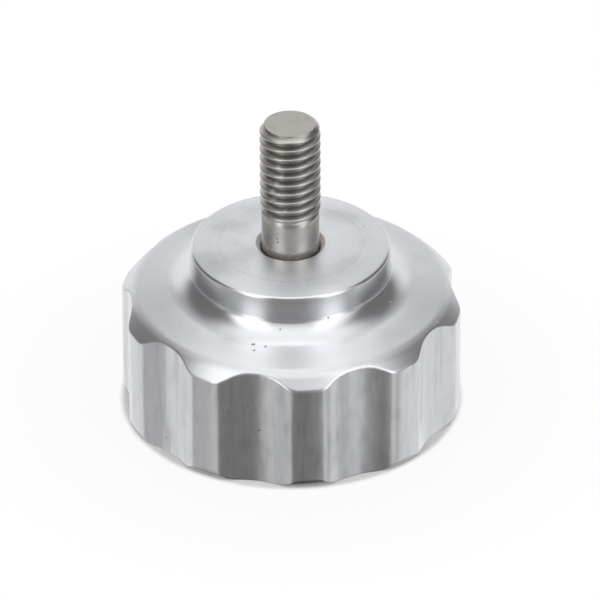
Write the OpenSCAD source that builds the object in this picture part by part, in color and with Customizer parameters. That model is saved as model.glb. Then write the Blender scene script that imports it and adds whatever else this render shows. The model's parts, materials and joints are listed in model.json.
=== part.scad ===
// Fluted knob turned from one bar, with a threaded stud standing in its boss.
// It stands on its grip face with the stud pointing up along +Z.
// The origin is the middle of the grip face, and a lobe points along -Y.

/* [Grip] */
// Diameter across the lobes
grip_d = 54; // [46:0.5:70]
// Height of the straight wall, from the grip face to the rim
grip_h = 18.15; // [12:0.05:22]
// Radius that rounds the edge of the grip face
face_edge_r = 1.6; // [0.5:0.1:4]

/* [Flutes] */
// Number of flutes round the grip
flute_count = 10; // [6:1:12]
// Radius of the cutter that mills a flute
flute_r = 13.5; // [8:0.5:20]
// Depth of a flute at its middle, measured in from the lobes
flute_depth = 1.8; // [0.8:0.1:3]
// Radius that breaks the upright edges between lobes and flutes
flute_edge_r = 2; // [0.2:0.1:3]

/* [Shoulder] */
// Width of the rim between the wall of the grip and the shoulder
rim_w = 2; // [1:0.1:4]
// Fall of the rim from the shoulder to the wall, in degrees
rim_slope = 47; // [30:1:65]
// Radius that breaks the edge between the rim and the wall
rim_edge_r = 0.3; // [0.1:0.1:1]
// Radius of the bend from the rim into the shoulder
rim_bend_r = 3; // [1:0.1:5]
// Fall of the shoulder from the boss to the rim, in degrees
shoulder_slope = 12; // [6:0.5:20]
// Radius of the tight cove at the foot of the boss
cove_r = 1.2; // [0.5:0.1:2.5]
// Angle through which the tight cove turns away from the boss wall, in degrees
cove_turn = 40; // [20:5:60]
// Radius of the wide sweep that carries the cove out into the shoulder
sweep_r = 6; // [3:0.1:8]

/* [Boss] */
// Diameter of the boss
boss_d = 31.4; // [24:0.2:36]
// Height of the straight wall of the boss, from the cove to the break of its edge
boss_wall_h = 3.4; // [0.2:0.1:8]
// Radius that breaks the edge of the boss face
boss_edge_r = 0.5; // [0.2:0.1:1.5]

/* [Tapped hole] */
// Depth of the full bore below the boss face
hole_depth = 17.5; // [16.5:0.5:20]
// Angle of the drill point at the bottom of the hole, in degrees
drill_point_angle = 118; // [90:1:140]
// Diameter of the countersink at the boss face
countersink_d = 11; // [10:0.1:14]
// Angle of the countersink, in degrees
countersink_angle = 90; // [60:5:120]

/* [Stud] */
// Diameter over the threads of both ends
thread_d = 9.525; // [9.3:0.005:9.8]
// Length of the thread that stands free
thread_length = 15.875; // [10:0.125:20]
// Diameter of the plain shank between the threads
shank_d = 9.1; // [8:0.1:9.2]
// Length of the plain shank
shank_length = 9.525; // [6:0.125:12]
// Length of the threaded tail inside the knob
tail_length = 12.7; // [8:0.1:13]
// Height of the stud above the boss face
stud_projection = 22.225; // [18:0.125:30]
// Width of the chamfer on both ends of the stud
end_chamfer = 0.76; // [0.3:0.02:1.2]
// Play between the tail and the tapped hole, all round
thread_fit = 0.05; // [0.02:0.01:0.1]

/* [Hidden] */
$fn = 128;
// Distance that every cut runs past the surface it opens
overrun = 1;
// Depth by which lines and arcs reach into each other where one blends into the next
blend = 0.001;

grip_r = grip_d / 2;
boss_r = boss_d / 2;

// Middle of the arc that rounds the edge of the grip face
face_arc = [grip_r - face_edge_r, face_edge_r];
// Directions square to the wall, the rim and the shoulder
wall_normal = [1, 0];
rim_normal = [sin(rim_slope), cos(rim_slope)];
shoulder_normal = [sin(shoulder_slope), cos(shoulder_slope)];
// Middle of the arc that breaks the edge of the rim, and the point where it runs out into the rim
rim_edge_arc = arc_middle([grip_r, grip_h], rim_edge_r, wall_normal, rim_normal);
rim_start = rim_edge_arc + (rim_edge_r - blend) * rim_normal;
// Corner between rim and shoulder, and the arc that bends one into the other
rim_corner = [grip_r - rim_w, grip_h + rim_w * tan(rim_slope)];
bend_arc = arc_middle(rim_corner, rim_bend_r, rim_normal, shoulder_normal);
bend_on_rim = bend_arc + (rim_bend_r - blend) * rim_normal;
bend_on_shoulder = bend_arc + (rim_bend_r - blend) * shoulder_normal;
// Direction square to the surface where the cove runs out into the sweep
cove_normal = [cos(cove_turn), sin(cove_turn)];
// Middle of the sweep, one radius clear of the shoulder
sweep_x = boss_r + cove_r + (sweep_r - cove_r) * cove_normal[0];
sweep_arc = [sweep_x, shoulder_z(sweep_x) + sweep_r / cos(shoulder_slope)];
sweep_end = sweep_arc - (sweep_r - 2 * blend) * shoulder_normal;
// Middle of the cove, one radius clear of the boss wall
cove_arc = sweep_arc - (sweep_r - cove_r) * cove_normal;
cove_end = cove_arc - (cove_r - blend) * cove_normal;
// Length of the lines that bound the sweep's share of its circle
sweep_reach = 2 * sweep_r;
// Height of the boss face above the grip face
body_h = cove_arc[1] + boss_wall_h + boss_edge_r;
// Middle of the arc that breaks the edge of the boss face
boss_arc = [boss_r - boss_edge_r, body_h - boss_edge_r];

// Distance of a flute cutter's axis from the knob's axis
flute_axis = grip_r - flute_depth + flute_r;
// Angle at the knob's axis between a flute's middle and the middle of its edge arc
edge_angle = corner_angle(flute_axis, grip_r - flute_edge_r, flute_r + flute_edge_r);
// Angle between a flute's middle and the corner that the edge arc takes off
flute_angle = corner_angle(flute_axis, grip_r, flute_r);
edge_arc = (grip_r - flute_edge_r) * [cos(edge_angle), sin(edge_angle)];
// Points where the edge arc runs out into the lobe and into the flute
edge_on_lobe = grip_r * [cos(edge_angle), sin(edge_angle)];
flute_middle = [flute_axis, 0];
edge_on_flute = flute_middle + (edge_arc - flute_middle) * flute_r / (flute_r + flute_edge_r);
edge_corner = grip_r * [cos(flute_angle), sin(flute_angle)];

bore_r = thread_d / 2 + thread_fit;
countersink_r = countersink_d / 2;
countersink_depth = (countersink_r - bore_r) / tan(countersink_angle / 2);
drill_point_h = bore_r / tan(drill_point_angle / 2);

thread_r = thread_d / 2;
shank_r = shank_d / 2;
// Height of each thread's runout into the thinner shank, at 45 degrees
runout_h = thread_r - shank_r;
stud_top = body_h + stud_projection;
thread_bottom = stud_top - thread_length;
tail_top = thread_bottom - shank_length;
tail_bottom = tail_top - tail_length;

// Height of the sloping shoulder at a distance from the axis
function shoulder_z(r) = rim_corner[1] + (rim_corner[0] - r) * tan(shoulder_slope);

// Middle of the arc that rounds a corner between two lines, given the directions square to them
function arc_middle(corner, radius, normal_a, normal_b) =
    corner - radius * (normal_a + normal_b) / (1 + normal_a * normal_b);

// Angle at the first corner of a triangle with two sides there and a third side opposite
function corner_angle(side_a, side_b, opposite) =
    acos((side_a ^ 2 + side_b ^ 2 - opposite ^ 2) / (2 * side_a * side_b));

// Half section of the turned body, with its convex arcs added to straight corners
// and the cove and sweep cut out of the straight lines between shoulder and boss
module turned_section() {
    difference() {
        union() {
            polygon([
                [0, 0],
                [face_arc[0], 0],
                [grip_r, face_arc[1]],
                [grip_r, rim_edge_arc[1]],
                rim_start,
                bend_on_rim,
                bend_on_shoulder,
                sweep_end,
                cove_end,
                [boss_r, cove_arc[1]],
                [boss_r, boss_arc[1]],
                [boss_arc[0], body_h],
                [0, body_h],
            ]);
            translate(face_arc)
                circle(r = face_edge_r);
            translate(rim_edge_arc)
                circle(r = rim_edge_r);
            translate(bend_arc)
                circle(r = rim_bend_r);
            translate(boss_arc)
                circle(r = boss_edge_r);
        }
        translate(cove_arc)
            circle(r = cove_r);
        intersection() {
            translate(sweep_arc)
                circle(r = sweep_r - blend);
            polygon([
                sweep_arc,
                sweep_arc - sweep_reach * cove_normal,
                sweep_arc - [0, sweep_reach],
            ]);
        }
    }
}

// Corner of a lobe that the edge arc takes off beside a flute
module broken_edge() {
    difference() {
        polygon([
            edge_arc,
            edge_on_lobe,
            edge_on_lobe + [flute_edge_r, 0],
            edge_corner,
            edge_on_flute,
        ]);
        translate(edge_arc)
            circle(r = flute_edge_r + blend);
    }
}

// One flute along +X over the full height of the knob, with both its edges broken
module flute() {
    translate([0, 0, -overrun])
        linear_extrude(height = body_h + 2 * overrun) {
            translate(flute_middle)
                circle(r = flute_r);
            broken_edge();
            mirror([0, 1])
                broken_edge();
        }
}

// Tapped hole with a countersunk mouth and a drill point, drawn over its threads
module tapped_hole() {
    rotate_extrude()
        polygon([
            [0, body_h - hole_depth - drill_point_h],
            [bore_r, body_h - hole_depth],
            [bore_r, body_h - countersink_depth],
            [countersink_r, body_h],
            [countersink_r, body_h + overrun],
            [0, body_h + overrun],
        ]);
}

// Turned and fluted body, from the grip face to the boss
module knob_body() {
    flute_step = 360 / flute_count;
    first_flute = (flute_step - 180) / 2;
    color("#c9cacc")
        difference() {
            rotate_extrude()
                turned_section();
            for (i = [0 : flute_count - 1])
                rotate(first_flute + i * flute_step)
                    flute();
            tapped_hole();
        }
}

// Double ended stud: threaded tail, plain shank and free thread, drawn over its threads
module threaded_stud() {
    color("#a19d98")
        rotate_extrude()
            polygon([
                [0, tail_bottom],
                [thread_r - end_chamfer, tail_bottom],
                [thread_r, tail_bottom + end_chamfer],
                [thread_r, tail_top - runout_h],
                [shank_r, tail_top],
                [shank_r, thread_bottom],
                [thread_r, thread_bottom + runout_h],
                [thread_r, stud_top - end_chamfer],
                [thread_r - end_chamfer, stud_top],
                [0, stud_top],
            ]);
}

knob_body();
threaded_stud();
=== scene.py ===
import json
import math

import bpy
import numpy as np
from mathutils import Matrix, Vector


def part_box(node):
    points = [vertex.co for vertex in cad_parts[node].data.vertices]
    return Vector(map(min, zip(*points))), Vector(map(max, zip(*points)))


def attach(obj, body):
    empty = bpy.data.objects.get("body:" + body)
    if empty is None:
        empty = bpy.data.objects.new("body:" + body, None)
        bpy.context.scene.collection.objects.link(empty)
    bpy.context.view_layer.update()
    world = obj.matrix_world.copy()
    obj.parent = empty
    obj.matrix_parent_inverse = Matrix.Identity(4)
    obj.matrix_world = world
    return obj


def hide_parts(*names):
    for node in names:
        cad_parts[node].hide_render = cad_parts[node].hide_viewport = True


# Fluted aluminium knob on its grip face, with a threaded steel stud standing in its boss.
# All lengths are in metres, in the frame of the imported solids, and all angles in radians,
# unless a comment gives another unit.
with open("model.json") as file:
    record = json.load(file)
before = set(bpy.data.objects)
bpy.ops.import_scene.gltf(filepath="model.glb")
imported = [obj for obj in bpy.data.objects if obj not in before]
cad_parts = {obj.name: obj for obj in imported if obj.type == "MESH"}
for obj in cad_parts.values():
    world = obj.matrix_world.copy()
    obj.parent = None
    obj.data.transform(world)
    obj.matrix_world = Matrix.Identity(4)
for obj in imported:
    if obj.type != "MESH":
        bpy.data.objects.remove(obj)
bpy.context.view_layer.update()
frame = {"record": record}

MM = 0.001
FULL_TURN = 2 * math.pi

# Turned body, from the grip face up to the boss, whose face rises to the hole by its crown
BODY_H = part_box("knob_body")[1].z
GRIP_R = 27 * MM
GRIP_H = 18.15 * MM
FACE_EDGE_R = 1.6 * MM
RIM_W = 2 * MM
RIM_SLOPE = math.radians(47)
RIM_BEND_R = 3 * MM
SHOULDER_SLOPE = math.radians(12)
COVE_R = 1.2 * MM
COVE_TURN = math.radians(40)
SWEEP_R = 6 * MM
BOSS_R = 15.7 * MM
BOSS_EDGE_R = 0.5 * MM
BOSS_CROWN = 0.45 * MM

# Flutes round the grip
FLUTE_COUNT = 10
FLUTE_R = 13.5 * MM
FLUTE_DEPTH = 1.8 * MM
FLUTE_EDGE_R = 2 * MM

# Buffing: breaks along the flutes' arches and along the edge of the grip face, the angle to either
# side over which the outline is averaged, and the points of the even outline that this is done on
ARCH_BREAK = 0.3 * MM
FACE_BREAK = 0.2 * MM
BUFF_ANGLE = math.radians(4)
BUFF_POINTS = 3600

# Tapped hole in the boss, with a countersink at 45 degrees and a small break round its mouth
BORE_R = 4.8125 * MM
COUNTERSINK_R = 5.5 * MM
COUNTERSINK_DEPTH = COUNTERSINK_R - BORE_R
HOLE_DEPTH = 17.5 * MM
DRILL_POINT_ANGLE = math.radians(118)
DRILL_POINT_H = BORE_R / math.tan(DRILL_POINT_ANGLE / 2)
MOUTH_BREAK = 0.12 * MM

# Threaded stud
STUD_MOUNT = next(mount for mount in frame["record"]["mounts"] if mount["name"] == "stud_thread")
THREAD_R = STUD_MOUNT["dims"]["r_mm"] * MM
STUD_BOTTOM, STUD_TOP = (corner.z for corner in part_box("threaded_stud"))
THREAD_PITCH = THREAD_R / 3
THREAD_DEPTH = 0.92 * MM
THREAD_LENGTH = 15.875 * MM
THREAD_RUNOUT = 0.9 * MM
SHANK_R = 4.55 * MM
SHANK_LENGTH = 9.525 * MM
END_CHAMFER = 0.76 * MM
THREAD_BOTTOM = STUD_TOP - THREAD_LENGTH
TAIL_TOP = THREAD_BOTTOM - SHANK_LENGTH

# Section of the thread, as shares of a sharp ridge: the root, the flank above it, and its easing
ROOT_SHARE = 0.2
FLANK_SHARE = 0.66
EASED_SHARE = 0.3

# Bend between shoulder and rim: the length of its arc, its end on the rim, its middle, and its start
# on the shoulder's slope
BEND_TURN = RIM_SLOPE - SHOULDER_SLOPE
BEND_TANGENT = RIM_BEND_R * math.tan(BEND_TURN / 2)
BEND_LENGTH = RIM_BEND_R * BEND_TURN
BEND_END_R = GRIP_R - RIM_W + BEND_TANGENT * math.cos(RIM_SLOPE)
BEND_END_Z = GRIP_H + RIM_W * math.tan(RIM_SLOPE) - BEND_TANGENT * math.sin(RIM_SLOPE)
BEND_R = BEND_END_R - RIM_BEND_R * math.sin(RIM_SLOPE)
BEND_Z = BEND_END_Z - RIM_BEND_R * math.cos(RIM_SLOPE)
SLOPE_R = BEND_R + RIM_BEND_R * math.sin(SHOULDER_SLOPE)
SLOPE_Z = BEND_Z + RIM_BEND_R * math.cos(SHOULDER_SLOPE)

# Sweep and cove between shoulder and boss: the middles of their arcs, and the slope left before them
SWEEP_TO_COVE = SWEEP_R - COVE_R
COVE_MIDDLE_R = BOSS_R + COVE_R
SWEEP_MIDDLE_R = COVE_MIDDLE_R + SWEEP_TO_COVE * math.cos(COVE_TURN)
SWEEP_RISE = (SLOPE_R - SWEEP_MIDDLE_R) * math.tan(SHOULDER_SLOPE)
SWEEP_MIDDLE_Z = SLOPE_Z + SWEEP_RISE + SWEEP_R / math.cos(SHOULDER_SLOPE)
COVE_MIDDLE_Z = SWEEP_MIDDLE_Z - SWEEP_TO_COVE * math.sin(COVE_TURN)
SWEEP_START_R = SWEEP_MIDDLE_R - SWEEP_R * math.sin(SHOULDER_SLOPE)
SLOPE_LENGTH = (SLOPE_R - SWEEP_START_R) / math.cos(SHOULDER_SLOPE)

# Rows of the body's skin, closer together near edges: distances in from the edge of the grip face,
# shares of the wall's height, shares of the way from the arch to the sweep, shares of the boss wall,
# and the count of even rows on the boss face
FACE_ROWS = MM * np.array([24, 20, 14, 8, 5, 3.4, 2.6, 2.1, 1.7, 1.3, 0.95, 0.65, 0.4, 0.24])
WALL_SHARES = np.array([0, 0.006, 0.03, 0.12, 0.27, 0.42, 0.58, 0.73, 0.88, 0.97, 0.994, 1])
SHOULDER_SHARES = np.array([
    0, 0.006, 0.03, 0.06, 0.09, 0.12, 0.15, 0.18, 0.21, 0.24, 0.27, 0.3,
    0.33, 0.36, 0.4, 0.45, 0.52, 0.6, 0.7, 0.8, 0.88, 0.94, 0.98,
])
BOSS_WALL_SHARES = np.array([0.02, 0.5, 0.98])
BOSS_FACE_ROWS = 24

# Rows round the hole's edges, as shares of the mouth's break: away from the axis, and up
MOUTH_SHARES = np.array([(0.3, -0.12), (-0.3, -0.5), (-1, -1), (-2, -2)])
BORE_TOP_SHARES = np.array([(0.5, 0.5), (0, -0.5), (0, -3)])
BORE_END_SHARES = np.array([(0, 1), (0, 0), (-1, -1)])

# Share of the bore's radius that is left at the last row of the drill point
POINT_SHARE = 0.02

# Points along the arcs of the outline and of the profile
FLUTE_POINTS = 15
SWEEP_POINTS = 13
COVE_POINTS = 9
EDGE_POINTS = 7

# Rings of the stud's skin: points in a ring, rows to a pitch of the tail and of the free thread, rows
# of the shank, the gap between an end face and the next row, and the end faces' rings as shares
STUD_POINTS = 120
TAIL_ROWS = 14
FREE_ROWS = 28
SHANK_ROWS = 13
END_GAP = 0.02 * MM
END_SHARES = np.array([0.02, 0.5, 0.9, 0.97, 0.99])


class Wire:
    """One output socket of a shader node, with arithmetic: an expression on wires adds Math nodes."""

    def __init__(self, tree, socket):
        self.tree = tree
        self.socket = socket

    @classmethod
    def add(cls, tree, kind, settings=None, inputs=None, output=0):
        """Adds a node of a kind, sets it up, then feeds its sockets, and gives one of its outputs."""
        made = tree.nodes.new(kind)
        for name, setting in (settings or {}).items():
            setattr(made, name, setting)
        for key, given in (inputs or {}).items():
            if isinstance(given, Wire):
                tree.links.new(given.socket, made.inputs[key])
            else:
                made.inputs[key].default_value = given
        return cls(tree, made.outputs[output]) if made.outputs else None

    def math(self, operation, *terms):
        """Result of a Math node on the given terms."""
        return Wire.add(self.tree, "ShaderNodeMath", {"operation": operation}, dict(enumerate(terms)))

    def __add__(self, other):
        return self.math("ADD", self, other)

    def __sub__(self, other):
        return self.math("SUBTRACT", self, other)

    def __rsub__(self, other):
        return self.math("SUBTRACT", other, self)

    def __mul__(self, other):
        return self.math("MULTIPLY", self, other)

    def __truediv__(self, other):
        return self.math("DIVIDE", self, other)

    def __pow__(self, other):
        return self.math("POWER", self, other)

    __radd__ = __add__
    __rmul__ = __mul__

    def beside(self, output):
        """Another output of the same node."""
        return Wire(self.tree, self.socket.node.outputs[output])

    def rise(self, low, high):
        """Smooth step from 0 at low to 1 at high; it falls where low is the larger of the two."""
        settings = {"interpolation_type": "SMOOTHSTEP"}
        inputs = {"Value": self, "From Min": low, "From Max": high}
        return Wire.add(self.tree, "ShaderNodeMapRange", settings, inputs)

    def within(self, low, high, edge):
        """Soft window: 1 between low and high, falling to 0 over an edge centred on each of them."""
        return self.rise(low - edge / 2, low + edge / 2) * self.rise(high + edge / 2, high - edge / 2)

    def blend(self, start, end):
        """Colour between start and end, with this wire as the share of the end colour.

        Inputs 6 and 7 and output 2 are the ones that a Mix node uses for colours.
        """
        settings = {"data_type": "RGBA", "clamp_factor": True}
        return Wire.add(self.tree, "ShaderNodeMix", settings, {0: self, 6: start, 7: end}, 2)

    def parts(self):
        """The three coordinates of this wire, a place or a direction."""
        x = Wire.add(self.tree, "ShaderNodeSeparateXYZ", {}, {"Vector": self})
        return x, x.beside("Y"), x.beside("Z")

    def distance(self, point):
        """Distance of this wire, a place, from a fixed point."""
        settings = {"operation": "DISTANCE"}
        return Wire.add(self.tree, "ShaderNodeVectorMath", settings, {0: self, 1: point}, "Value")

    def stretched(self, scale):
        """This wire, a place, scaled by its own amount along each axis."""
        return Wire.add(self.tree, "ShaderNodeMapping", {}, {"Vector": self, "Scale": scale})

    def noise(self, scale, octaves, roughness=0.5):
        """Fractal noise at this wire, a place, from 0 to 1."""
        inputs = {"Vector": self, "Scale": scale, "Detail": octaves, "Roughness": roughness}
        return Wire.add(self.tree, "ShaderNodeTexNoise", {}, inputs)

    def relief(self):
        """Normal of a surface that has this wire as its height in mm."""
        inputs = {"Height": self, "Strength": 1, "Distance": MM}
        return Wire.add(self.tree, "ShaderNodeBump", {}, inputs)


def empty_tree(owner):
    """Clears a material's or world's node tree and gives it back."""
    owner.use_nodes = True
    owner.node_tree.nodes.clear()
    return owner.node_tree


def start_material(name):
    """New material with an empty node tree, and in it the shaded place in Object coordinates."""
    material = bpy.data.materials.new(name)
    return material, Wire.add(empty_tree(material), "ShaderNodeTexCoord", {}, {}, "Object")


def end_material(material, shader):
    """Puts a shader on a material's surface and gives the material back."""
    Wire.add(material.node_tree, "ShaderNodeOutputMaterial", {}, {"Surface": shader})
    return material


def from_axis(x, y):
    """Distance of a place from the knob's axis: the root of the sum of the squares."""
    return (x * x + y * y) ** 0.5


def arc(middle, radius, start, end, count):
    """Points of a round stretch of a profile: middle plus radius at count angles from start to end."""
    turn = np.linspace(start, end, count)
    return np.stack([middle[0] + radius * np.cos(turn), middle[1] + radius * np.sin(turn)], axis=1)


def closed_skin(name, rings):
    """Mesh over a grid of rings, each a row of points round the axis, closed by a pole at both ends.

    Neighbouring points of neighbouring rings make four-sided faces that look outwards, and the
    first and last rings are drawn together to a single point on the axis.
    """
    count, around = rings.shape[:2]
    poles = rings[[0, -1]].mean(axis=1)
    points = np.concatenate([rings.reshape(-1, 3), poles])
    ring = np.arange(count * around).reshape(count, around)
    onward = np.roll(ring, -1, axis=1)
    quads = np.stack([ring[:-1], onward[:-1], onward[1:], ring[1:]], axis=-1).reshape(-1, 4)
    low_pole = np.full(around, count * around)
    low_fan = np.stack([low_pole, onward[0], ring[0]], axis=-1)
    high_fan = np.stack([low_pole + 1, ring[-1], onward[-1]], axis=-1)
    mesh = bpy.data.meshes.new(name)
    mesh.from_pydata(points, [], [*quads.tolist(), *low_fan.tolist(), *high_fan.tolist()])
    mesh.polygons.foreach_set("use_smooth", np.ones(len(mesh.polygons), dtype=bool))
    mesh.update()
    piece = bpy.data.objects.new(name, mesh)
    bpy.context.scene.collection.objects.link(piece)
    return piece


def fluted_outline():
    """Outline of the grip seen from above, as the angle and the distance from the axis of each point.

    Half a flute is an arc of the flute cutter, an arc that breaks its edge and half a lobe on the
    grip's own circle. It is mirrored about the flute's middle and repeated round the axis.
    """
    cutter = GRIP_R - FLUTE_DEPTH + FLUTE_R
    near = GRIP_R - FLUTE_EDGE_R
    far = FLUTE_R + FLUTE_EDGE_R
    edge_angle = math.acos((cutter**2 + near**2 - far**2) / (2 * cutter * near))
    edge = np.array([near * math.cos(edge_angle), near * math.sin(edge_angle)])
    flute_turn = math.asin(edge[1] / far)
    half_step = math.pi / FLUTE_COUNT
    half = np.concatenate([
        arc((cutter, 0), FLUTE_R, math.pi, math.pi - flute_turn, FLUTE_POINTS)[:-1],
        arc(edge, FLUTE_EDGE_R, -flute_turn, edge_angle, EDGE_POINTS)[:-1],
        arc((0, 0), GRIP_R, edge_angle, half_step, EDGE_POINTS)[:-1],
    ])
    angle = np.arctan2(half[:, 1], half[:, 0])
    reach = np.hypot(half[:, 0], half[:, 1])
    one_angle = np.concatenate([[-half_step], -angle[:0:-1], angle])
    one_reach = np.concatenate([[GRIP_R], reach[:0:-1], reach])
    middles = half_step - math.pi / 2 + 2 * half_step * np.arange(FLUTE_COUNT)
    return (middles[:, None] + one_angle).ravel(), np.tile(one_reach, FLUTE_COUNT)


def buffed(angle, reach):
    """Outline with its corners buffed soft, each reach averaged over a raised cosine window of angles.

    The window slides over an even grid of angles, wrapped round the full turn.
    """
    steps = round(BUFF_POINTS * BUFF_ANGLE / FULL_TURN)
    even = np.linspace(0, FULL_TURN, BUFF_POINTS, endpoint=False)
    window = 1 + np.cos(np.linspace(-math.pi, math.pi, 2 * steps + 1))
    on_even = np.interp(even, angle, reach, period=FULL_TURN)
    wrapped = np.concatenate([on_even[-steps:], on_even, on_even[:steps]])
    soft = np.convolve(wrapped, window / window.sum(), mode="valid")
    return np.interp(angle, even, soft, period=FULL_TURN)


def along_face(distance):
    """Turned profile near the grip face: flat up to its arc at distance 0, then round the arc."""
    turn = np.maximum(distance, 0) / FACE_EDGE_R
    r = GRIP_R - FACE_EDGE_R + np.minimum(distance, 0) + FACE_EDGE_R * np.sin(turn)
    return r, FACE_EDGE_R * (1 - np.cos(turn))


def face_distance(r):
    """Distance along the grip face's profile at which it reaches r, on the flat or on the arc."""
    flat_edge = GRIP_R - FACE_EDGE_R
    turn = np.arcsin(np.clip((r - flat_edge) / FACE_EDGE_R, 0, 1))
    return np.where(r > flat_edge, FACE_EDGE_R * turn, r - flat_edge)


def along_shoulder(distance):
    """Turned profile: the slope of the shoulder up to distance 0, the arc of the bend, then the rim."""
    turn = SHOULDER_SLOPE + np.clip(distance, 0, BEND_LENGTH) / RIM_BEND_R
    inner = np.minimum(distance, 0)
    outer = np.maximum(distance - BEND_LENGTH, 0)
    r = BEND_R + RIM_BEND_R * np.sin(turn)
    z = BEND_Z + RIM_BEND_R * np.cos(turn)
    r = r + inner * math.cos(SHOULDER_SLOPE) + outer * math.cos(RIM_SLOPE)
    z = z - inner * math.sin(SHOULDER_SLOPE) - outer * math.sin(RIM_SLOPE)
    return r, z


def shoulder_distance(r):
    """Distance along the shoulder's profile at which it reaches r, on the bend or on the rim."""
    turn = np.arcsin(np.clip((r - BEND_R) / RIM_BEND_R, 0, 1))
    on_rim = BEND_LENGTH + (r - BEND_END_R) / math.cos(RIM_SLOPE)
    return np.where(r > BEND_END_R, on_rim, RIM_BEND_R * (turn - SHOULDER_SLOPE))


def soft_corner(start, corner, end):
    """Rows between two profile points, drawn towards the corner as a quadratic curve."""
    t = np.linspace(0, 1, EDGE_POINTS)[1:-1, None]
    return tuple(
        (1 - t) ** 2 * a + 2 * t * (1 - t) * b + t**2 * c for a, b, c in zip(start, corner, end)
    )


def boss_and_hole():
    """Profile from the sweep to the drill point, as points of distance from the axis and height.

    Sweep and cove are arcs up to the straight boss wall, and another arc breaks the boss edge. The
    boss face rises to the mouth of the hole, by its crown times one less the cube of the share of
    the way out. Countersink, bore and drill point are straight.
    """
    sweep_middle = (SWEEP_MIDDLE_R, SWEEP_MIDDLE_Z)
    cove_middle = (COVE_MIDDLE_R, COVE_MIDDLE_Z)
    edge_middle = (BOSS_R - BOSS_EDGE_R, BODY_H - BOSS_EDGE_R)
    wall_z = COVE_MIDDLE_Z + BOSS_WALL_SHARES * (edge_middle[1] - COVE_MIDDLE_Z)
    face_fall = math.atan(3 * BOSS_CROWN / (edge_middle[0] - COUNTERSINK_R))
    edge = arc(edge_middle, BOSS_EDGE_R, 0, math.pi / 2 - face_fall, EDGE_POINTS)
    edge_r, edge_z = edge[-1]
    mouth_r = COUNTERSINK_R + MOUTH_BREAK
    way_out = np.linspace(1, 0, BOSS_FACE_ROWS + 1)[1:]
    face_r = mouth_r + way_out * (edge_r - mouth_r)
    face_z = edge_z + BOSS_CROWN * (1 - way_out**3)
    mouth = np.array([COUNTERSINK_R, face_z[-1]])
    bore_top = np.array([BORE_R, face_z[-1] - COUNTERSINK_DEPTH])
    bore_end = np.array([BORE_R, BODY_H - HOLE_DEPTH])
    slope_turn = 1.5 * math.pi - SHOULDER_SLOPE
    cove_turn = math.pi + COVE_TURN
    return np.concatenate([
        arc(sweep_middle, SWEEP_R, slope_turn, cove_turn, SWEEP_POINTS)[:-1],
        arc(cove_middle, COVE_R, cove_turn, math.pi, COVE_POINTS),
        np.stack([np.full_like(wall_z, BOSS_R), wall_z], axis=1),
        edge,
        np.stack([face_r, face_z], axis=1),
        mouth + MOUTH_BREAK * MOUTH_SHARES,
        bore_top + MOUTH_BREAK * BORE_TOP_SHARES,
        bore_end + MOUTH_BREAK * BORE_END_SHARES,
        [[BORE_R * POINT_SHARE, bore_end[1] - DRILL_POINT_H * (1 - POINT_SHARE)]],
    ])


def knob_body_rings():
    """Surface of the body: for every angle of the fluted outline, one profile from pole to pole.

    The profile runs out along the grip face and its round edge as far as the flute leaves it,
    straight up the wall of the flute, back in over the rim, the shoulder, the cove and the boss,
    and down the countersunk hole. Corners with the flute wall are drawn as small soft curves.
    """
    angle, sharp_wall = fluted_outline()
    wall = buffed(angle, sharp_wall)

    # Where the flute's wall meets the grip face and the rim, and where the breaks of both corners end
    face_edge = face_distance(wall)
    rim_edge = shoulder_distance(wall)
    wall_low = along_face(face_edge)[1]
    wall_high = along_shoulder(rim_edge)[1]
    face_end = face_edge - FACE_BREAK
    wall_start = wall_low + FACE_BREAK
    wall_end = wall_high - ARCH_BREAK
    shoulder_start = rim_edge - ARCH_BREAK

    # Rows of each stage, as distances from the axis and heights at every angle
    face = along_face(face_edge - FACE_ROWS[:, None])
    low_corner = soft_corner(along_face(face_end), (wall, wall_low), (wall, wall_start))
    wall_z = wall_start + WALL_SHARES[:, None] * (wall_end - wall_start)
    wall_rows = (np.broadcast_to(wall, wall_z.shape), wall_z)
    high_corner = soft_corner((wall, wall_end), (wall, wall_high), along_shoulder(shoulder_start))
    shoulder_way = SHOULDER_SHARES[:, None] * (shoulder_start + SLOPE_LENGTH)
    shoulder = along_shoulder(shoulder_start - shoulder_way)
    turned = boss_and_hole()[:, :, None] * np.ones_like(wall)
    boss = (turned[:, 0], turned[:, 1])

    stages = [face, low_corner, wall_rows, high_corner, shoulder, boss]
    r = np.concatenate([stage[0] for stage in stages])
    z = np.concatenate([stage[1] for stage in stages])
    return np.stack([r * np.cos(angle), r * np.sin(angle), z], axis=-1)


def thread_reach(z, angle):
    """Distance of a right hand thread's flank from the axis, at a height and an angle.

    The share of a turn above the helix goes up one flank, over a narrow crest, down the other
    flank and along a round root, so the reach is a triangle wave with its tips cut and eased.
    """
    share = (z / THREAD_PITCH - angle / FULL_TURN) % 1
    ridge = 1 - np.abs(2 * share - 1)
    flank = np.clip((ridge - ROOT_SHARE) / FLANK_SHARE, 0, 1)
    eased = flank * flank * (3 - 2 * flank)
    return THREAD_R - THREAD_DEPTH * (1 - flank + EASED_SHARE * (flank - eased))


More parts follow.
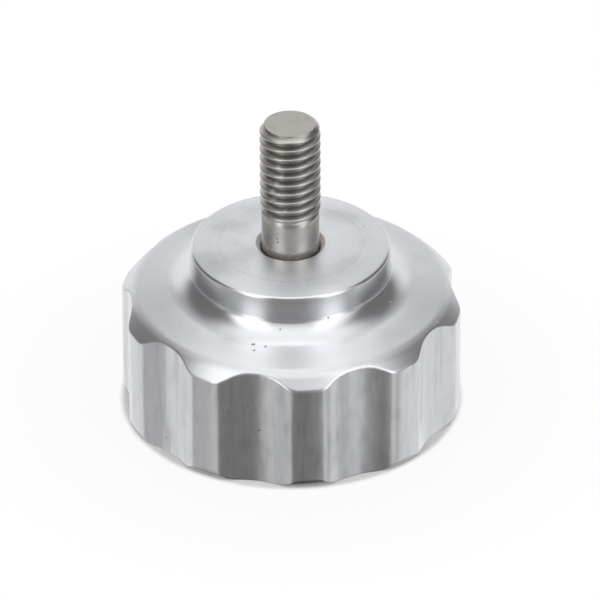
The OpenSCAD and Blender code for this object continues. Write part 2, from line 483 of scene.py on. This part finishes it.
def threaded_stud_rings():
    """Surface of the stud: rows of heights from end to end, each a ring with the thread's reach.

    Both ends are threaded, and between them the reach fades into the plain shank. Each end is
    held inside a chamfer cone, which runs out into the flat end face.
    """
    angle = np.linspace(0, FULL_TURN, STUD_POINTS, endpoint=False)
    tail = np.arange(STUD_BOTTOM + END_GAP, TAIL_TOP, THREAD_PITCH / TAIL_ROWS)
    shank = np.linspace(TAIL_TOP, THREAD_BOTTOM, SHANK_ROWS, endpoint=False)
    free = np.arange(THREAD_BOTTOM, STUD_TOP - END_GAP, THREAD_PITCH / FREE_ROWS)
    heights = np.concatenate([tail, shank, free])[:, None]
    into_thread = np.maximum(heights - THREAD_BOTTOM, TAIL_TOP - heights)
    threaded = np.clip(into_thread / THREAD_RUNOUT, 0, 1)
    reach = SHANK_R + threaded * (thread_reach(heights, angle) - SHANK_R)
    from_end = np.minimum(heights - STUD_BOTTOM, STUD_TOP - heights)
    end_r = THREAD_R - END_CHAMFER
    reach = np.minimum(reach, end_r + from_end)
    faces_r = end_r * END_SHARES[:, None] * np.ones_like(angle)
    flat = np.ones((len(END_SHARES), 1))
    r = np.concatenate([faces_r, reach, faces_r[::-1]])
    z = np.concatenate([STUD_BOTTOM * flat, heights, STUD_TOP * flat]) * np.ones_like(angle)
    return np.stack([r * np.cos(angle), r * np.sin(angle), z], axis=-1)


knob = closed_skin("knob_body_skin", knob_body_rings())
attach(knob, "root")
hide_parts("knob_body")

stud = closed_skin("threaded_stud_skin", threaded_stud_rings())
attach(stud, "root")
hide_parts("threaded_stud")

# Colours of both finishes
ALUMINIUM_COLOUR = (0.800, 0.812, 0.845, 1)
# Stain colour, also used for the painted shade on the shoulder
ALUMINIUM_STAIN_AND_SHADE = (0.58, 0.59, 0.61, 1)
PIT_COLOUR = (0.38, 0.38, 0.38, 1)
# Darker, warmer colour for the mouth of the hole
MOUTH_COLOUR = (0.75, 0.71, 0.67, 1)
STEEL_COLOUR = (0.58, 0.56, 0.53, 1)
STEEL_DARK = (0.20, 0.19, 0.175, 1)
STEEL_BRUISE = (0.8, 0.78, 0.76, 1)

# Zones of the aluminium, from where each starts to where it is full: how far up the surface faces,
# with 1 for level, and the distance from the axis
WALL_FACING = (0.5, 0.2)
WALL_BAND = (23 * MM, 24 * MM)
BOSS_FACE_FACING = (0.9, 0.99)
BOSS_FACE_BAND = (BOSS_R, BOSS_R - BOSS_EDGE_R)
BOSS_OUTER_BAND = (7 * MM, 12 * MM)
SHOULDER_FACING = (0.8, 0.98)
SHOULDER_BAND = (17 * MM, 22.5 * MM)
RIM_BAND = (24 * MM, 25 * MM)
MOUTH_SOFTNESS = 0.1 * MM
MOUTH_BAND = (COUNTERSINK_R + MOUTH_SOFTNESS, COUNTERSINK_R - MOUTH_SOFTNESS)

# The rim faces up by more than the first value and less than the second, with a soft edge
RIM_FACING = (0.45, 0.9, 0.1)

# Noise patterns of the aluminium: turning rings to the mm, the others to the metre, with their
# stretch along the axes, their octaves, and the levels of noise between which they come to show
OCTAVES = 3
RING_SCALE = 2.2
RING_ROUGHNESS = 0.6
RING_LEVELS = (0.5, 0.75)
STREAK_SCALE = 900
STREAK_STRETCH = (1, 1, 0.05)
STREAK_LEVELS = (0.48, 0.8)
CLOUD_SCALE = 110
CLOUD_LEVELS = (0.5, 0.8)
BOSS_CLOUD_LEVELS = (0.45, 0.65)
BLOTCH_SCALE = 420
BLOTCH_STRETCH = (1, 1, 0.5)
BLOTCH_LEVELS = (0.5, 0.75)
WAVE_SCALE = 260
WAVE_STRETCH = (1, 1, 0.35)
WAVE_OCTAVES = 2

# Shares of stain that they and the zones add to the aluminium, of painted shade on the shoulder,
# and of the darker, warmer colour in the mouth
CLOUD_STAIN = 0.35
# Painted shade: the shoulder is drawn darker
SHOULDER_PAINTED_SHADE = 0.5
STREAK_STAIN = 0.55
BLOTCH_STAIN = 0.4
BOSS_RING_STAIN = 0.3
BOSS_CLOUD_STAIN = 0.3
MOUTH_COLOUR_SHARE = 0.9

# Roughness of the aluminium, and what patterns, zones and specks add to it
ALUMINIUM_ROUGHNESS = 0.16
CLOUD_DULLNESS = 0.06
RING_DULLNESS = 0.05
STREAK_DULLNESS = 0.08
BOSS_DULLNESS = 0.2
BOSS_OUTER_DULLNESS = 0.1
SHOULDER_DULLNESS = 0.12
RIM_DULLNESS = 0.14
MOUTH_DULLNESS = 0.5
SPECK_DULLNESS = 0.25

# How far the aluminium's shine is drawn out, and its direction as a share of a turn
BRUSHING = 0.6
BRUSHING_TURN = 0.25

# Relief of the aluminium in mm
RING_RELIEF = 0.003
STREAK_RELIEF = 0.004
WAVE_RELIEF = 0.012
WALL_WAVE_RELIEF = 0.1
PIT_RELIEF = 0.04
SPECK_RELIEF = 0.02

# Zones of the steel, from where each starts to where it is full: the thread's roots by distance from
# the axis and by height at both ends of the free thread, and the end face by height
ROOT_BAND = (THREAD_R - 0.15 * MM, THREAD_R - THREAD_DEPTH)
ROOT_BOTTOM = (THREAD_BOTTOM, THREAD_BOTTOM + MM)
ROOT_TOP = (STUD_TOP - 0.05 * MM, STUD_TOP - 0.4 * MM)
END_FACE = (STUD_TOP - 0.03 * MM, STUD_TOP - 0.01 * MM)

# Noise patterns of the steel to the metre, in the same way
SMUDGE_SCALE = 420
SMUDGE_OCTAVES = 4
SMUDGE_ROUGHNESS = 0.6
SMUDGE_LEVELS = (0.5, 0.8)
BRUISE_LEVELS = (0.4, 0.6)
GRAIN_SCALE = 1500
GRAIN_STRETCH = (1, 1, 0.3)
GRAIN_OCTAVES = 2

# Shares of darkening of the steel, its roughness with what is added to it, and its relief in mm
# Painted shade in the thread roots
ROOT_PAINTED_SHADE = 0.7
SMUDGE_DARKNESS = 0.3
NICK_DARKNESS = 0.8
# Painted shade on the end face
END_FACE_PAINTED_SHADE = 0.25
STEEL_ROUGHNESS = 0.22
SMUDGE_DULLNESS = 0.12
ROOT_DULLNESS = 0.1
BRUISE_DULLNESS = 0.2
GRAIN_RELIEF = 0.004
NICK_RELIEF = 0.04
BRUISE_RELIEF = 0.03

# Small marks on the body: distance from the axis in mm, angle in degrees, height and radius in mm
PITS = [
    (19.4, -113.5, 21.5, 0.36),
    (20.6, -112, 21.2, 0.26),
    (19.5, -107.5, 21.5, 0.28),
    (16.5, -101.5, 22.9, 0.2),
    (15.8, -74, 23.9, 0.2),
    (12.5, 17.5, 28.4, 0.2),
    (25.3, -111, 13.8, 0.24),
    (25.5, -113, 12.5, 0.2),
    (26.6, -119, 12.4, 0.2),
    (25.3, -147, 2.4, 0.2),
    (25.2, -107, 9.5, 0.24),
]
SPECKS = [
    (17.4, -32, 22.3, 0.26),
    (22.3, -156.5, 20.9, 0.3),
    (20.5, -153, 21.2, 0.26),
    (21.7, -166.5, 21, 0.26),
    (20.6, -19, 21.2, 0.3),
    (21.4, -19.5, 21, 0.4),
    (11.4, -136, 28.5, 0.26),
    (25.1, -29.5, 20.1, 0.3),
]

# Marks on the stud, in the same units: bruised spots of the thread and a nick in the shank
BRUISES = [
    (4.4, -121, 45.2, 0.6),
    (4.4, -116, 43.7, 0.7),
    (4.4, -126, 42, 0.6),
    (4.4, -134, 40.4, 0.8),
    (4.4, -135, 38.9, 0.8),
    (4.4, -106, 37.4, 0.5),
]
NICKS = [
    (4.55, -122, 31.2, 0.24),
    (4.55, -123, 31.8, 0.24),
]

# Share of a mark's radius out to which it is full
MARK_CORE_SHARE = 0.4


def spots(place, marks):
    """Share of the surface under small marks: 1 in the middle of each, falling to 0 at its radius."""
    total = 0
    for r, angle, z, size in marks:
        turn = math.radians(angle)
        middle = (r * math.cos(turn) * MM, r * math.sin(turn) * MM, z * MM)
        total = place.distance(middle).rise(size * MM, MARK_CORE_SHARE * size * MM) + total
    return total


def turned_aluminium():
    """Buffed aluminium, with its zones told apart by their facing and their distance from the axis.

    The turning rings follow the distance from the axis less the height, which grows all the way
    along the turned profile. Streaks and blotches are noise drawn out along the axis, kept to the
    upright walls, which are wavy too. The boss face is dull, and duller towards its edge, the
    shoulder and the rim are a little dull, the shoulder is darkened by painted shade, and the mouth
    of the hole is darker and warmer. The light spreads across the turning rings.
    """
    material, place = start_material("turned_aluminium")
    tree = place.tree
    x, y, z = place.parts()
    radius = from_axis(x, y)
    upward = Wire.add(tree, "ShaderNodeNewGeometry", {}, {}, "Normal").parts()[2]

    wall = upward.rise(*WALL_FACING) * radius.rise(*WALL_BAND)
    boss_face = upward.rise(*BOSS_FACE_FACING) * radius.rise(*BOSS_FACE_BAND)
    boss_outer = radius.rise(*BOSS_OUTER_BAND)
    shoulder = upward.rise(*SHOULDER_FACING) * radius.rise(*SHOULDER_BAND)
    rim = upward.within(*RIM_FACING) * radius.rise(*RIM_BAND)
    mouth = radius.rise(*MOUTH_BAND)

    along = (radius - z) / MM
    ring_inputs = {"W": along, "Scale": RING_SCALE, "Detail": OCTAVES, "Roughness": RING_ROUGHNESS}
    rings = Wire.add(tree, "ShaderNodeTexNoise", {"noise_dimensions": "1D"}, ring_inputs)
    streaks = place.stretched(STREAK_STRETCH).noise(STREAK_SCALE, OCTAVES)
    clouds = place.noise(CLOUD_SCALE, OCTAVES)
    blotches = place.stretched(BLOTCH_STRETCH).noise(BLOTCH_SCALE, OCTAVES)
    waves = place.stretched(WAVE_STRETCH).noise(WAVE_SCALE, WAVE_OCTAVES)
    pits = spots(place, PITS)
    specks = spots(place, SPECKS)

    wall_stain = STREAK_STAIN * streaks.rise(*STREAK_LEVELS)
    wall_stain = wall_stain + BLOTCH_STAIN * blotches.rise(*BLOTCH_LEVELS)
    boss_stain = BOSS_RING_STAIN * rings.rise(*RING_LEVELS)
    boss_stain = boss_stain + BOSS_CLOUD_STAIN * clouds.rise(*BOSS_CLOUD_LEVELS)
    # The shoulder's share is painted shade, the patterns' shares are stain
    stain_and_shade = CLOUD_STAIN * clouds.rise(*CLOUD_LEVELS) + SHOULDER_PAINTED_SHADE * shoulder
    stain_and_shade = stain_and_shade + wall_stain * wall + boss_stain * boss_face
    colour = stain_and_shade.blend(ALUMINIUM_COLOUR, ALUMINIUM_STAIN_AND_SHADE)
    colour = pits.blend(colour, PIT_COLOUR)
    # The mouth of the hole is drawn darker and warmer
    colour = (MOUTH_COLOUR_SHARE * mouth).blend(colour, MOUTH_COLOUR)

    roughness = ALUMINIUM_ROUGHNESS + CLOUD_DULLNESS * clouds
    roughness = roughness + RING_DULLNESS * rings * (1 - wall) + STREAK_DULLNESS * streaks * wall
    roughness = roughness + boss_face * (BOSS_DULLNESS + BOSS_OUTER_DULLNESS * boss_outer)
    roughness = roughness + SHOULDER_DULLNESS * shoulder + RIM_DULLNESS * rim
    roughness = roughness + MOUTH_DULLNESS * mouth + SPECK_DULLNESS * specks

    height = RING_RELIEF * rings * (1 - wall) + STREAK_RELIEF * streaks * wall
    height = height + waves * (WAVE_RELIEF + WALL_WAVE_RELIEF * wall)
    height = height - PIT_RELIEF * pits + SPECK_RELIEF * specks

    return end_material(material, Wire.add(tree, "ShaderNodeBsdfPrincipled", {}, {
        "Base Color": colour,
        "Metallic": 1,
        "Roughness": roughness,
        "Anisotropic": BRUSHING,
        "Anisotropic Rotation": BRUSHING_TURN,
        "Normal": height.relief(),
    }))


def stud_steel():
    """Rolled steel: warm grey, with painted shade, darker smudges, bruises and a nick.

    Its fine grain is noise drawn out along the axis. Shade is painted into the free thread's roots
    only, and onto the end face.
    """
    material, place = start_material("stud_steel")
    x, y, z = place.parts()
    root = from_axis(x, y).rise(*ROOT_BAND) * z.rise(*ROOT_BOTTOM) * z.rise(*ROOT_TOP)
    end_face = z.rise(*END_FACE)
    smudges = place.noise(SMUDGE_SCALE, SMUDGE_OCTAVES, SMUDGE_ROUGHNESS)
    grain = place.stretched(GRAIN_STRETCH).noise(GRAIN_SCALE, GRAIN_OCTAVES)
    bruises = spots(place, BRUISES) * smudges.rise(*BRUISE_LEVELS)
    nicks = spots(place, NICKS)

    # The roots' share of darkening is painted shade, the smudges' share is dirt
    dark = ROOT_PAINTED_SHADE * root + SMUDGE_DARKNESS * smudges.rise(*SMUDGE_LEVELS)
    # The end face's share of darkening is painted shade, the nick's is a dark mark
    dark = dark + NICK_DARKNESS * nicks + END_FACE_PAINTED_SHADE * end_face
    colour = bruises.blend(dark.blend(STEEL_COLOUR, STEEL_DARK), STEEL_BRUISE)
    roughness = STEEL_ROUGHNESS + SMUDGE_DULLNESS * smudges
    roughness = roughness + ROOT_DULLNESS * root + BRUISE_DULLNESS * bruises
    height = GRAIN_RELIEF * grain - NICK_RELIEF * nicks + BRUISE_RELIEF * bruises

    return end_material(material, Wire.add(place.tree, "ShaderNodeBsdfPrincipled", {}, {
        "Base Color": colour,
        "Metallic": 1,
        "Roughness": roughness,
        "Normal": height.relief(),
    }))


knob.data.materials.append(turned_aluminium())
stud.data.materials.append(stud_steel())

# Camera: where the photograph was taken from, and where a point of the knob's axis lies in its frame
PHOTO_PX = 600
VIEW_AZIMUTH = math.radians(-5.79)
VIEW_ELEVATION = math.radians(32.5)
VIEW_ROLL = math.radians(0.25)
VIEW_DISTANCE = 1350 * MM
VIEW_END = 10 * VIEW_DISTANCE
PX_PER_M = 6331
AXIS_POINT = Vector((0, 0, 14.72 * MM))
AXIS_POINT_PX = (290.9, 316.8)

# Width of the camera's sensor in mm, as Blender gives it
SENSOR_W = 36


def photo_camera():
    """Camera at the photograph's angle, aimed so that a point of the knob's axis falls on its pixel."""
    back = Vector((
        math.sin(VIEW_AZIMUTH) * math.cos(VIEW_ELEVATION),
        -math.cos(VIEW_AZIMUTH) * math.cos(VIEW_ELEVATION),
        math.sin(VIEW_ELEVATION),
    ))
    level = Vector((math.cos(VIEW_AZIMUTH), math.sin(VIEW_AZIMUTH), 0))
    upright = back.cross(level)
    right = math.cos(VIEW_ROLL) * level - math.sin(VIEW_ROLL) * upright
    up = math.sin(VIEW_ROLL) * level + math.cos(VIEW_ROLL) * upright
    aside = (PHOTO_PX / 2 - AXIS_POINT_PX[0]) / PX_PER_M
    above = (AXIS_POINT_PX[1] - PHOTO_PX / 2) / PX_PER_M
    place = AXIS_POINT + aside * right + above * up + VIEW_DISTANCE * back
    data = bpy.data.cameras.new("photo_camera")
    data.sensor_width = SENSOR_W
    data.lens = SENSOR_W * VIEW_DISTANCE * PX_PER_M / PHOTO_PX
    data.clip_end = VIEW_END
    camera = bpy.data.objects.new("photo_camera", data)
    camera.matrix_world = Matrix.Translation(place) @ Matrix((right, up, back)).transposed().to_4x4()
    bpy.context.scene.collection.objects.link(camera)
    bpy.context.scene.camera = camera


photo_camera()

# Studio: a light tent round the knob, a pale floor and a white background
WHITE = (1, 1, 1, 1)
WORLD_FILL = 0.5
TENT_R = 900 * MM
TENT_ROWS = 24
TENT_POINTS = 48
TENT_TOP = math.radians(88)
FLOOR_R = 4000 * MM
FLOOR_COLOUR = (0.9, 0.9, 0.9, 1)
FLOOR_GLOW_SHARE = 0.9

# Rings of the floor by distance from the axis: the edge of the knob's foot, and where the shadow ends
FOOT_BAND = (0.97 * GRIP_R, 1.02 * GRIP_R)
SHADOW_BAND = (1.2 * GRIP_R, 2.2 * GRIP_R)

# Cloths of the tent
TENT_WHITE = (1.1, 1.1, 1.1, 1)
BACK_CLOTH = (0.53, 0.53, 0.53, 1)
BACK_MIDDLE = (0.62, 0.62, 0.62, 1)
BACK_TOP = (1.6, 1.6, 1.6, 1)
LOW_BACK = (0.9, 0.9, 0.9, 1)
LOW_CLOTH = (0.76, 0.76, 0.76, 1)
SIDE_GREY = (0.17, 0.168, 0.165, 1)
LOW_FRONT = (0.44, 0.437, 0.43, 1)
HIGH_FRONT = (0.74, 0.74, 0.74, 1)
SOFT_BOX = (1.45, 1.45, 1.45, 1)
FRONT_GREY = (0.28, 0.275, 0.265, 1)
UNDER_GREY = (0.3, 0.3, 0.3, 1)
FLOOR_GREY = (0.06, 0.059, 0.057, 1)

# Panels of the tent in degrees: azimuths to the right of the camera, elevations and a soft edge.
# A panel behind the knob has two halves, which run past the half turn so that no edge shows there.
TENT_PANELS = [
    (BACK_CLOTH, (138, 230), (26, 57), 14),
    (BACK_CLOTH, (-230, -136), (26, 57), 14),
    (BACK_MIDDLE, (164, 230), (14, 45), 12),
    (BACK_MIDDLE, (-230, -164), (14, 45), 12),
    (BACK_TOP, (162, 230), (40, 75), 10),
    (BACK_TOP, (-230, -162), (40, 75), 10),
    (LOW_BACK, (143, 230), (-100, 26), 14),
    (LOW_BACK, (-230, -145), (-100, 26), 14),
    (LOW_CLOTH, (-140, 140), (-100, -11), 14),
    (SIDE_GREY, (-139, -66), (-14, 58), 25),
    (SIDE_GREY, (74, 142), (-12, 58), 25),
    (LOW_FRONT, (-86, 76), (-100, 22), 16),
    (HIGH_FRONT, (-32, 32), (20, 55), 16),
    (SOFT_BOX, (-52, -31), (-22, 67), 16),
    (SOFT_BOX, (-74, -31), (34, 64), 14),
    (SOFT_BOX, (34, 58), (-24, 68), 16),
    (FRONT_GREY, (-25, 20), (-100, 42), 14),
    (UNDER_GREY, (-200, 200), (-100, -52), 10),
    (FLOOR_GREY, (-33, 41), (-100, -34), 14),
]


def tent_rings():
    """Sphere round the knob, as level rings from its lowest point to its highest."""
    rise = np.linspace(-TENT_TOP, TENT_TOP, TENT_ROWS)[:, None]
    turn = np.linspace(0, FULL_TURN, TENT_POINTS, endpoint=False)
    level = TENT_R * np.cos(rise)
    height = TENT_R * np.sin(rise) * np.ones_like(turn)
    return np.stack([level * np.cos(turn), level * np.sin(turn), height], axis=-1)


def tent_cloth():
    """White cloth that glows, with soft-edged grey panels and soft boxes laid over it in turn.

    Rays find such a wide cloth by themselves, so it isn't sampled as a lamp.
    """
    material, place = start_material("tent_cloth")
    x, y, z = place.parts()
    aside = x * math.cos(VIEW_AZIMUTH) + y * math.sin(VIEW_AZIMUTH)
    front = x * math.sin(VIEW_AZIMUTH) - y * math.cos(VIEW_AZIMUTH)
    azimuth = place.math("ARCTAN2", aside, front) * math.degrees(1)
    elevation = place.math("ARCTAN2", z, from_axis(x, y)) * math.degrees(1)
    glow = TENT_WHITE
    for colour, across, up, edge in TENT_PANELS:
        mask = azimuth.within(*across, edge) * elevation.within(*up, edge)
        glow = mask.blend(glow, colour)
    shader = Wire.add(place.tree, "ShaderNodeEmission", {}, {"Color": glow, "Strength": 1})
    material.cycles.emission_sampling = "NONE"
    return end_material(material, shader)


def seen_directly(tree):
    """1 for rays that show the background: from the camera, off metal or through glass."""
    camera = Wire.add(tree, "ShaderNodeLightPath", {}, {}, "Is Camera Ray")
    glossy = camera.beside("Is Glossy Ray")
    through = camera.beside("Is Transmission Ray")
    return camera.math("MAXIMUM", camera, camera.math("MAXIMUM", glossy, through))


def floor_paint():
    """Pale floor that keeps a soft shadow near the knob, lifted to white where it is seen directly."""
    material, place = start_material("floor_paint")
    tree = place.tree
    x, y = place.parts()[:2]
    radius = from_axis(x, y)
    outside = radius.rise(*FOOT_BAND)
    far_off = radius.rise(*SHADOW_BAND)
    share = seen_directly(tree) * outside * (FLOOR_GLOW_SHARE + (1 - FLOOR_GLOW_SHARE) * far_off)
    matt = Wire.add(tree, "ShaderNodeBsdfDiffuse", {}, {"Color": FLOOR_COLOUR})
    white = Wire.add(tree, "ShaderNodeEmission", {}, {"Color": WHITE, "Strength": 1})
    shader = Wire.add(tree, "ShaderNodeMixShader", {}, {0: share, 1: matt, 2: white})
    return end_material(material, shader)


def white_world():
    """White background for rays that show it, and a weaker fill for the rest."""
    world = bpy.data.worlds.new("white_background")
    tree = empty_tree(world)
    strength = WORLD_FILL + (1 - WORLD_FILL) * seen_directly(tree)
    shader = Wire.add(tree, "ShaderNodeBackground", {}, {"Color": WHITE, "Strength": strength})
    Wire.add(tree, "ShaderNodeOutputWorld", {}, {"Surface": shader})
    bpy.context.scene.world = world


tent = closed_skin("light_tent", tent_rings())
tent.data.materials.append(tent_cloth())
tent.visible_camera = False
tent.visible_shadow = False

# Reflections look past the floor, at the lower panels of the tent
floor_mesh = bpy.data.meshes.new("floor")
floor_corners = [(-1, -1, 0), (1, -1, 0), (1, 1, 0), (-1, 1, 0)]
floor_mesh.from_pydata(FLOOR_R * np.array(floor_corners), [], [(0, 1, 2, 3)])
floor = bpy.data.objects.new("floor", floor_mesh)
bpy.context.scene.collection.objects.link(floor)
floor.data.materials.append(floor_paint())
floor.visible_glossy = False

white_world()

bpy.context.scene.view_settings.view_transform = "Standard"
